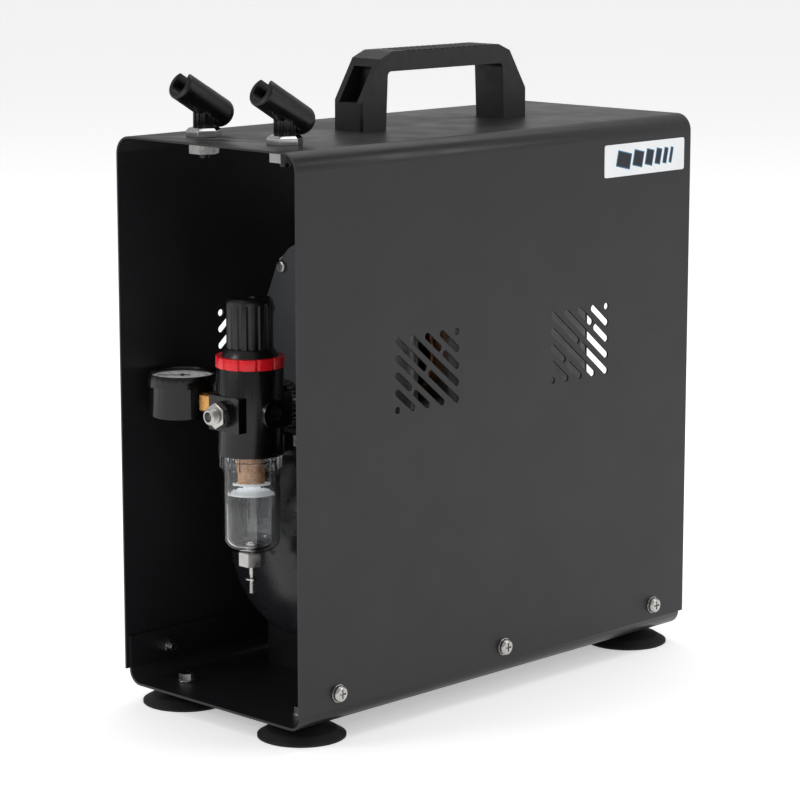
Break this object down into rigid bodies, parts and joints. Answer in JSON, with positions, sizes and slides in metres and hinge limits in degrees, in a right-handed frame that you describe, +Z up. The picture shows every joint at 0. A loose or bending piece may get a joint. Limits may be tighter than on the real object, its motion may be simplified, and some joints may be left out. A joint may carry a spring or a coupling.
{
  "type": "airbrush compressor",
  "caption": "Twin-cylinder airbrush compressor on an air tank, in an open-ended bent sheet housing with a carry handle, two airbrush holders, and a filter regulator with gauge at its front.",
  "frame": {"origin": "on the table under the middle of the overall box", "axes": "+Z up, +X to the right as seen from the open front, -Y out of the front where the regulator and air outlet are"},
  "size_m": [0.164, 0.358, 0.3978],
  "materials": {
    "housing_paint": "satin powder coat",
    "tray_paint": "satin powder coat",
    "handle_plastic": "fine grain",
    "holder_plastic": "fine grain",
    "label_white": "satin film with a plain mark",
    "foot_rubber": "smooth",
    "mount_rubber": "smooth",
    "chrome": "polished",
    "zinc_steel": "zinc plated",
    "tank_paint": "gloss",
    "pump_aluminium": "as cast",
    "plate_paint": "dark grey satin",
    "stator_steel": "laminated",
    "winding_copper": "enamelled copper",
    "fan_plastic": "plain",
    "bright_steel": "ground",
    "piston_aluminium": "machined",
    "pipe_metal": "drawn",
    "box_plastic": "plain",
    "rocker_plastic": "gloss",
    "regulator_black": "semi-gloss",
    "bonnet_plastic": "satin",
    "knob_plastic": "satin",
    "ring_red": "gloss",
    "spring_steel": "plain",
    "diaphragm_rubber": "fabric backed",
    "nickel": "nickel plated",
    "brass": "plain",
    "gauge_black": "gloss",
    "dial_white": "printed scale",
    "needle_black": "plain",
    "clear_glass": "clear",
    "bowl_clear": "clear polycarbonate",
    "filter_tan": "sintered",
    "white_plastic": "plain"
  },
  "bodies": {
    "housing": {"cover_shell": "housing_paint", "base_tray": "tray_paint", "pan_screws": "zinc_steel", "cover_nuts": "zinc_steel", "label_plate": "label_white", "suction_feet": "foot_rubber", "hex_bolts": "zinc_steel", "carry_handle": "handle_plastic", "holder_bushes": "chrome", "holder_nuts": "zinc_steel", "air_tank": "tank_paint", "tank_saddles": "tank_paint", "tank_drain_plug": "brass", "pump_platform": "tank_paint", "safety_valve": "brass", "pump_mounts": "mount_rubber", "crankcases": "pump_aluminium", "crankcase_plates": "plate_paint", "pump_screws": "zinc_steel", "cylinder_sleeves": "piston_aluminium", "cylinder_heads": "pump_aluminium", "shaft_bearings": "bright_steel", "motor_stator": "stator_steel", "motor_windings": "winding_copper", "delivery_pipe": "pipe_metal", "regulator_feed": "nickel", "switch_box": "box_plastic", "cable_gland": "box_plastic", "regulator_body": "regulator_black", "lock_ring": "ring_red", "regulator_bonnet": "bonnet_plastic", "adjusting_spring": "spring_steel", "diaphragm": "diaphragm_rubber", "port_plug": "regulator_black", "outlet_nipple": "nickel", "gauge_case": "gauge_black", "gauge_dial": "dial_white", "gauge_lens": "clear_glass", "gauge_stem": "brass", "filter_bowl": "bowl_clear", "filter_element": "filter_tan", "filter_baffle": "white_plastic", "drain_valve": "nickel"},
    "holder_left": {"holder_left": "holder_plastic"},
    "holder_right": {"holder_right": "holder_plastic"},
    "adjusting_screw": {"adjusting_screw": "bright_steel"},
    "knob": {"adjust_knob": "knob_plastic"},
    "spring_seat": {"spring_seat": "brass"},
    "gauge_needle": {"gauge_needle": "needle_black"},
    "drain_pin": {"drain_pin": "nickel"},
    "rotor": {"drive_shaft": "bright_steel", "rotor_core": "stator_steel", "cooling_fans": "fan_plastic"},
    "rod_front": {"rod_front": "piston_aluminium"},
    "rod_rear": {"rod_rear": "piston_aluminium"},
    "piston_front": {"piston_front": "piston_aluminium"},
    "piston_rear": {"piston_rear": "piston_aluminium"},
    "rocker": {"rocker_switch": "rocker_plastic"},
    "pull_ring": {"safety_pull_ring": "bright_steel"},
    "poppet": {"poppet_valve": "brass"}
  },
  "joints": [
    {"name": "holder_left_swivel", "type": "hinge", "parent": "housing", "child": "holder_left", "pos_m": [-0.035, -0.141, 0.3506], "axis": [0, 0, 1], "range_deg": [-175, 175]},
    {"name": "holder_right_swivel", "type": "hinge", "parent": "housing", "child": "holder_right", "pos_m": [0.035, -0.141, 0.3506], "axis": [0, 0, 1], "range_deg": [-175, 175]},
    {"name": "pressure_adjust", "type": "hinge", "parent": "housing", "child": "adjusting_screw", "pos_m": [0.008, -0.145, 0.2496], "axis": [0, 0, 1], "range_deg": [-720, 720]},
    {"name": "knob_unlock", "type": "slide", "parent": "adjusting_screw", "child": "knob", "axis": [0, 0, 1], "range_m": [0, 0.003]},
    {"name": "seat_travel", "type": "slide", "parent": "housing", "child": "spring_seat", "axis": [0, 0, 1], "range_m": [-0.0026, 0.0026], "deforming": ["adjusting_spring"]},
    {"name": "gauge_sweep", "type": "hinge", "parent": "housing", "child": "gauge_needle", "pos_m": [-0.0528, -0.145, 0.20225], "axis": [0, 0, 1], "range_deg": [-270, 0]},
    {"name": "drain_push", "type": "slide", "parent": "housing", "child": "drain_pin", "axis": [0, 0, 1], "range_m": [0, 0.0025], "stiffness_N_per_m": 150, "springref_m": -0.004},
    {"name": "rotor_spin", "type": "hinge", "parent": "housing", "child": "rotor", "pos_m": [0, 0.018, 0.214], "axis": [0, 1, 0], "continuous": true},
    {"name": "rod_front_turn", "type": "hinge", "parent": "rotor", "child": "rod_front", "pos_m": [0, -0.062, 0.218], "axis": [0, 1, 0], "continuous": true},
    {"name": "rod_rear_turn", "type": "hinge", "parent": "rotor", "child": "rod_rear", "pos_m": [0, 0.098, 0.21], "axis": [0, 1, 0], "continuous": true},
    {"name": "piston_front_stroke", "type": "slide", "parent": "housing", "child": "piston_front", "axis": [0, 0, 1], "range_m": [-0.008, 0]},
    {"name": "piston_rear_stroke", "type": "slide", "parent": "housing", "child": "piston_rear", "axis": [0, 0, 1], "range_m": [0, 0.008]},
    {"name": "power_rocker", "type": "hinge", "parent": "housing", "child": "rocker", "pos_m": [-0.012, 0.162, 0.0705], "axis": [1, 0, 0], "range_deg": [0, 14]},
    {"name": "safety_pull", "type": "slide", "parent": "housing", "child": "pull_ring", "axis": [0, 1, 0], "range_m": [0, 0.003], "stiffness_N_per_m": 200, "springref_m": -0.005},
    {"name": "poppet_lift", "type": "slide", "parent": "housing", "child": "poppet", "axis": [0, 0, 1], "range_m": [-0.0015, 0], "stiffness_N_per_m": 300, "springref_m": 0.003}
  ],
  "couplings": [
    {"joint": "seat_travel", "follows": "pressure_adjust", "m_per_rad": 0.00019894},
    {"joint": "rod_front_turn", "follows": "rotor_spin", "ratio": -1},
    {"joint": "rod_rear_turn", "follows": "rotor_spin", "ratio": -1}
  ]
}
